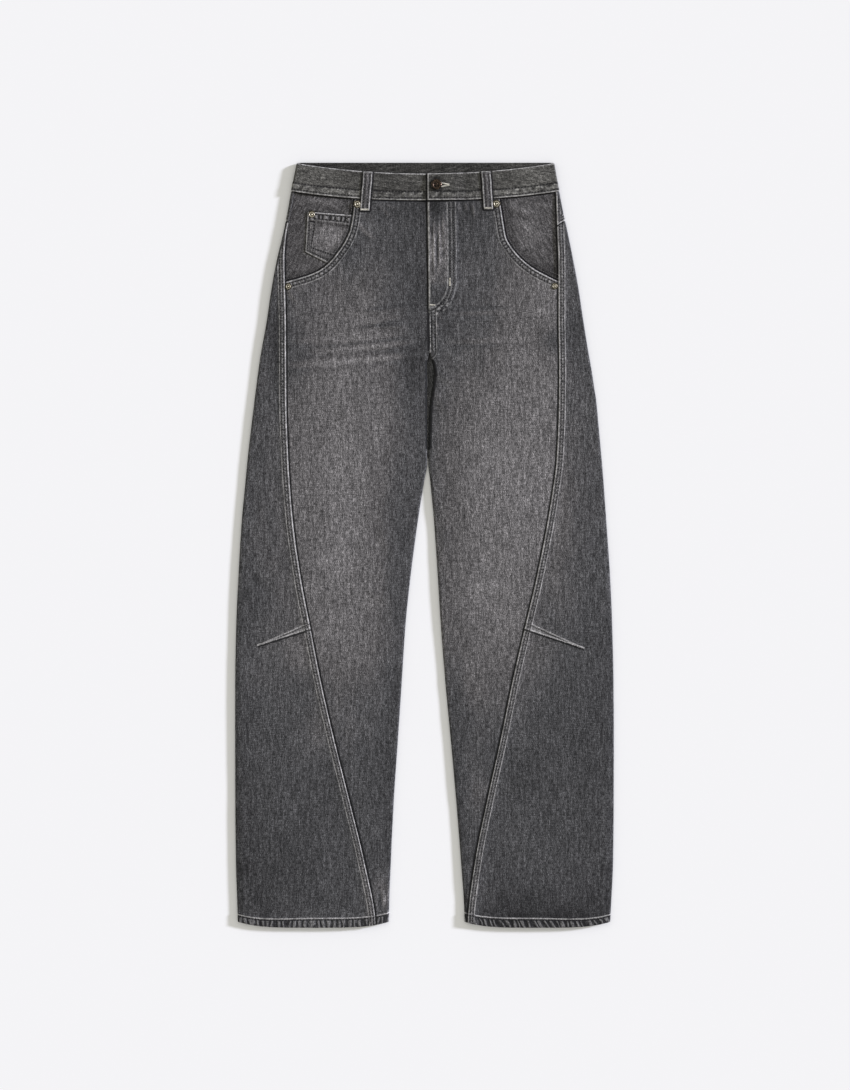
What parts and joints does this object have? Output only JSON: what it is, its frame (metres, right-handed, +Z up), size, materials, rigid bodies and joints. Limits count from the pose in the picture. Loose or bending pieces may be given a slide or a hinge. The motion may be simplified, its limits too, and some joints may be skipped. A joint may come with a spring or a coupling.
{
  "type": "barrel leg trousers",
  "caption": "Washed grey denim barrel leg trousers laid flat and face up, with a high waist, side seams that curve to the front and knee darts.",
  "frame": {"origin": "on the surface that the garment lies on, under the middle of its length and width", "axes": "+Z up from the surface, +Y towards the waist, +X towards the wearer's left leg"},
  "size_m": [0.5248, 1.06, 0.012],
  "materials": {
    "denim": "washed grey twill denim, paler at the thighs and along worn seams",
    "pocket_denim": "washed grey twill denim of the pocket pieces",
    "button_bronze": "dark antique bronze with worn copper edges",
    "rivet_brass": "antique brass with a dull rim"
  },
  "bodies": {
    "root": {"front_right": "denim", "front_left": "denim", "back_right": "denim", "back_left": "denim", "yoke_right": "denim", "yoke_left": "denim", "pocket_facing_right": "pocket_denim", "pocket_facing_left": "pocket_denim", "coin_pocket": "pocket_denim", "back_pocket_right": "denim", "back_pocket_left": "denim", "waistband": "denim", "belt_loop_front_right": "denim", "belt_loop_front_left": "denim", "belt_loop_back_right": "denim", "belt_loop_back_middle": "denim", "belt_loop_back_left": "denim", "button": "button_bronze", "rivet_right_top": "rivet_brass", "rivet_right_side": "rivet_brass", "rivet_left_top": "rivet_brass", "rivet_left_side": "rivet_brass", "rivet_coin_pocket": "rivet_brass"}
  },
  "joints": []
}
